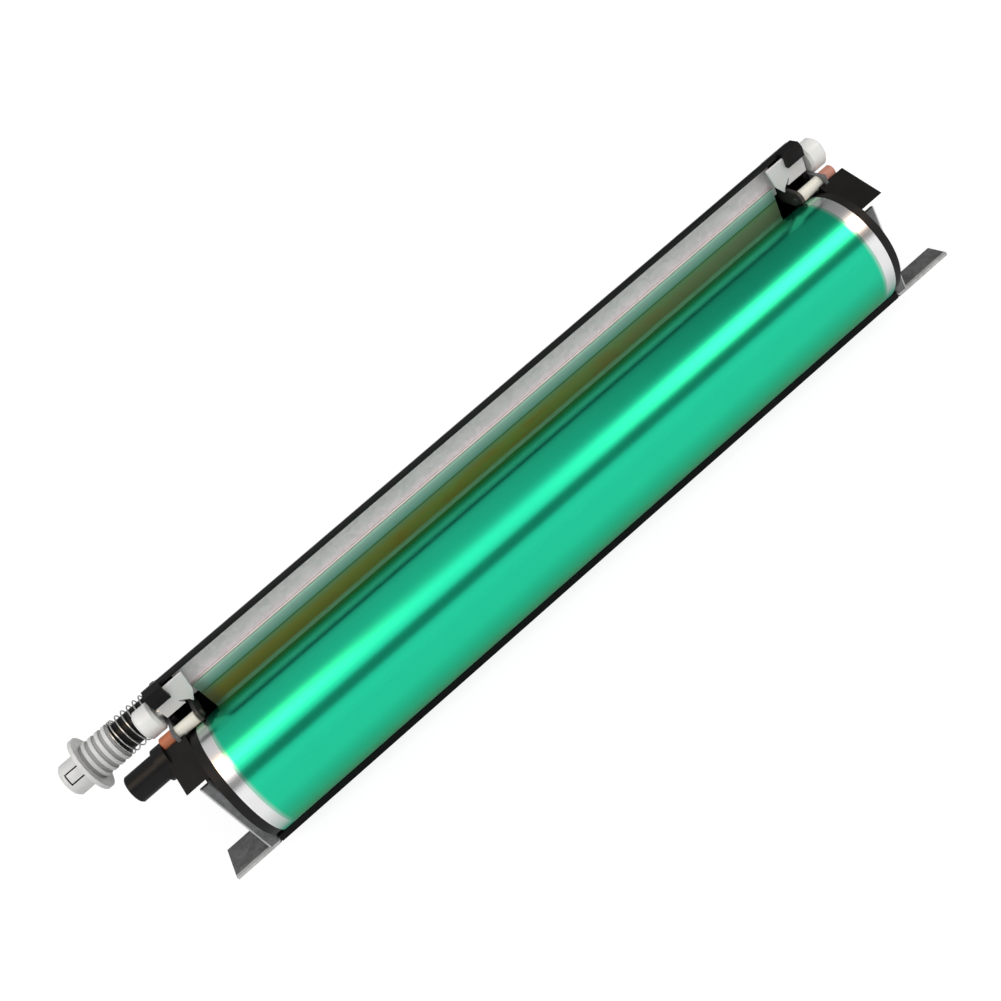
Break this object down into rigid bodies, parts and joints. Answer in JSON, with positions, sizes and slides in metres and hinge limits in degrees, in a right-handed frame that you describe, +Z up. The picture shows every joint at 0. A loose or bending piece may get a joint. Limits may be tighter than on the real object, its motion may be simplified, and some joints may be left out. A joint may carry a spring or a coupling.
{
  "type": "printer drum unit",
  "caption": "Photoconductor drum between two sheet-metal end plates, with a blade and brush cleaner behind it and a sprung shutter on the waste toner outlet.",
  "frame": {"origin": "centre of the drum, on its own axis", "axes": "+X along the drum axis towards the geared end, away from the toner outlet; +Z up; the bare side of the drum faces -Y and the cleaner lies on the +Y side"},
  "size_m": [0.4732, 0.0933, 0.0865],
  "materials": {
    "drum_coating": "glossy green photoconductor coating over aluminium, bare at both ends",
    "black_plastic": "fine satin black moulding",
    "white_plastic": "white acetal moulding",
    "cream_plastic": "cream acetal collar",
    "orange_plastic": "orange brown bearing plastic",
    "zinc_sheet": "zinc coated pressed sheet",
    "steel": "bright steel",
    "blade_urethane": "smooth olive urethane",
    "brush_fibre": "dark conductive fibre pile",
    "seal_film": "thin dark film"
  },
  "bodies": {
    "frame": {"brush_bearing_left": "black_plastic", "brush_bearing_right": "black_plastic", "catch_seal": "seal_film", "cleaner_housing": "black_plastic", "cover_screws": "steel", "drum_bearing_left": "white_plastic", "drum_bearing_right": "white_plastic", "end_cover_left": "black_plastic", "end_cover_right": "black_plastic", "end_plate_left": "zinc_sheet", "end_plate_right": "zinc_sheet", "frame_screws": "steel", "front_rail": "black_plastic", "outlet_cap": "white_plastic", "outlet_pipe": "black_plastic", "pivot_bush_left": "orange_plastic", "pivot_bush_right": "orange_plastic", "pivot_collar_left": "cream_plastic", "pivot_collar_right": "cream_plastic", "pivot_pin_left": "steel", "pivot_pin_right": "steel", "rear_stay": "zinc_sheet", "screw_bearing": "white_plastic", "seal_plate_left": "white_plastic", "seal_plate_right": "white_plastic", "shutter_spring": "steel"},
    "drum": {"drum_tube": "drum_coating", "drum_flange_left": "black_plastic", "drum_flange_right": "black_plastic"},
    "brush": {"brush_shaft": "steel", "brush_roller": "brush_fibre", "brush_gear": "white_plastic", "drive_coupling": "black_plastic"},
    "screw": {"toner_screw": "black_plastic", "screw_gear": "white_plastic"},
    "blade": {"blade_rubber": "blade_urethane", "blade_holder": "zinc_sheet", "blade_bracket": "zinc_sheet", "blade_screws": "steel", "press_stud_left": "steel", "press_stud_right": "steel", "press_bush_left": "white_plastic", "press_bush_right": "white_plastic"},
    "shutter": {"shutter_sleeve": "white_plastic"}
  },
  "joints": [
    {"name": "drum_spin", "type": "hinge", "parent": "frame", "child": "drum", "pos_m": [0, 0, 0], "axis": [1, 0, 0], "continuous": true},
    {"name": "brush_spin", "type": "hinge", "parent": "frame", "child": "brush", "pos_m": [0, 0.03742, 0.0066], "axis": [1, 0, 0], "continuous": true},
    {"name": "screw_spin", "type": "hinge", "parent": "frame", "child": "screw", "pos_m": [0, 0.04902, 0.02652], "axis": [1, 0, 0], "continuous": true},
    {"name": "blade_swing", "type": "hinge", "parent": "frame", "child": "blade", "pos_m": [0, 0.0129, 0.0306], "axis": [1, 0, 0], "range_deg": [0, 2], "stiffness_Nm_per_rad": 2, "springref_deg": -5.73},
    {"name": "shutter_slide", "type": "slide", "parent": "frame", "child": "shutter", "axis": [1, 0, 0], "range_m": [0, 0.012], "stiffness_N_per_m": 150, "springref_m": -0.012, "deforming": ["shutter_spring"]}
  ],
  "couplings": [
    {"joint": "screw_spin", "follows": "brush_spin", "ratio": -1.5556}
  ]
}
